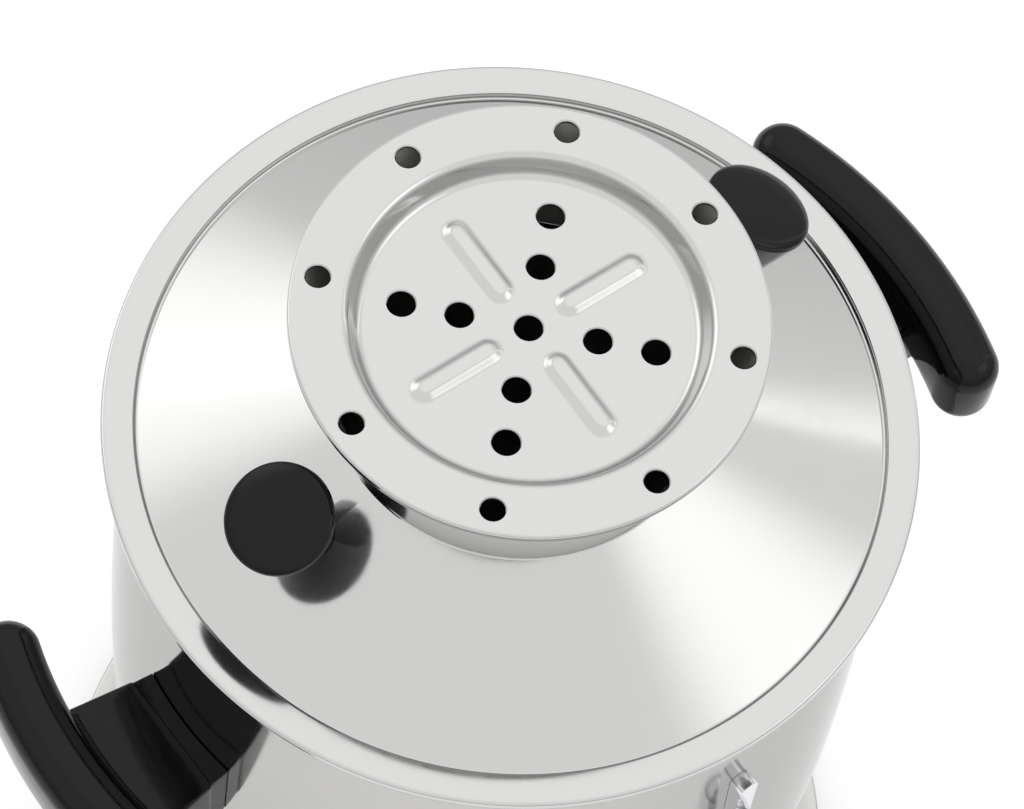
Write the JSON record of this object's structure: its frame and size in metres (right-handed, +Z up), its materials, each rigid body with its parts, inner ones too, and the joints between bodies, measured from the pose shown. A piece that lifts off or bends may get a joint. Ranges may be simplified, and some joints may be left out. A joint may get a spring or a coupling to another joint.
{
  "type": "samovar",
  "caption": "Barrel-shaped electric samovar with a flared base, lift-off conical lid, perforated teapot stand, side handles, sight glass, plug tap and heat dial.",
  "frame": {"origin": "on the standing plane, on the barrel's axis", "axes": "+Z up; the handles and lid knobs lie along X; the tap, sight glass and dial face -Y; the mains inlet faces +Y"},
  "size_m": [0.3842, 0.3535, 0.4742],
  "materials": {
    "polished_steel": "mirror polished stainless steel",
    "satin_steel": "mill finish stainless steel",
    "fastener_steel": "bright zinc plated",
    "chrome": "bright chrome plate",
    "brass": "turned brass",
    "black_phenolic": "polished moulded phenolic",
    "black_plastic": "moulded, fine grain",
    "rubber": "moulded rubber",
    "glass": "clear drawn tube",
    "heater_alloy": "heat tinted alloy tube",
    "ceramic": "steatite",
    "red_lens": "clear moulded lens",
    "wire_sleeve": "woven glass sleeve"
  },
  "bodies": {
    "vessel": {"body_shell": "polished_steel", "lower_shell": "polished_steel", "inlet_panel": "polished_steel", "tank_floor": "satin_steel", "base_skirt": "polished_steel", "base_cover": "satin_steel", "pillars": "brass", "waist_screws": "fastener_steel", "cover_screws": "fastener_steel", "feet": "rubber", "foot_screws": "fastener_steel", "foot_nuts": "fastener_steel", "heater_element": "heater_alloy", "heater_bushes": "brass", "heater_seals": "rubber", "heater_nuts": "brass", "heat_limiter": "ceramic", "thermostat": "ceramic", "dial_seat": "rubber", "bush_nut": "fastener_steel", "lamp_bezel": "chrome", "lamp_lens": "red_lens", "inlet_socket": "black_plastic", "inlet_pins": "brass", "inlet_screws": "fastener_steel", "wiring": "wire_sleeve", "handle_left": "black_phenolic", "handle_right": "black_phenolic", "handle_inserts": "brass", "handle_bolts": "fastener_steel", "handle_seals": "rubber", "tap_body": "chrome", "tap_gasket": "rubber", "tap_back_nut": "brass", "gauge_glass": "glass", "gauge_top_fitting": "chrome", "gauge_low_fitting": "chrome", "gauge_seals": "rubber", "gauge_gaskets": "rubber", "gauge_nuts": "brass"},
    "lid": {"lid_shell": "polished_steel", "lid_neck": "polished_steel", "knob_left": "black_phenolic", "knob_right": "black_phenolic", "knob_screws": "fastener_steel", "knob_washers": "fastener_steel"},
    "crown": {"crown_plate": "polished_steel"},
    "tap_key": {"tap_plug": "brass", "plug_washer": "fastener_steel", "plug_nut": "chrome", "tap_lever": "black_phenolic", "lever_cap": "chrome"},
    "dial": {"dial_knob": "black_phenolic", "dial_shaft": "fastener_steel"}
  },
  "joints": [
    {"name": "lid_lift", "type": "slide", "parent": "vessel", "child": "lid", "axis": [0, 0, 1], "range_m": [0, 0.12]},
    {"name": "crown_lift", "type": "slide", "parent": "lid", "child": "crown", "axis": [0, 0, 1], "range_m": [0, 0.06]},
    {"name": "tap_turn", "type": "hinge", "parent": "vessel", "child": "tap_key", "pos_m": [0, -0.168, 0.128], "axis": [0, 0, -1], "range_deg": [0, 90]},
    {"name": "dial_turn", "type": "hinge", "parent": "vessel", "child": "dial", "pos_m": [0, -0.13, 0.075], "axis": [0, 1, 0], "range_deg": [0, 270]}
  ]
}
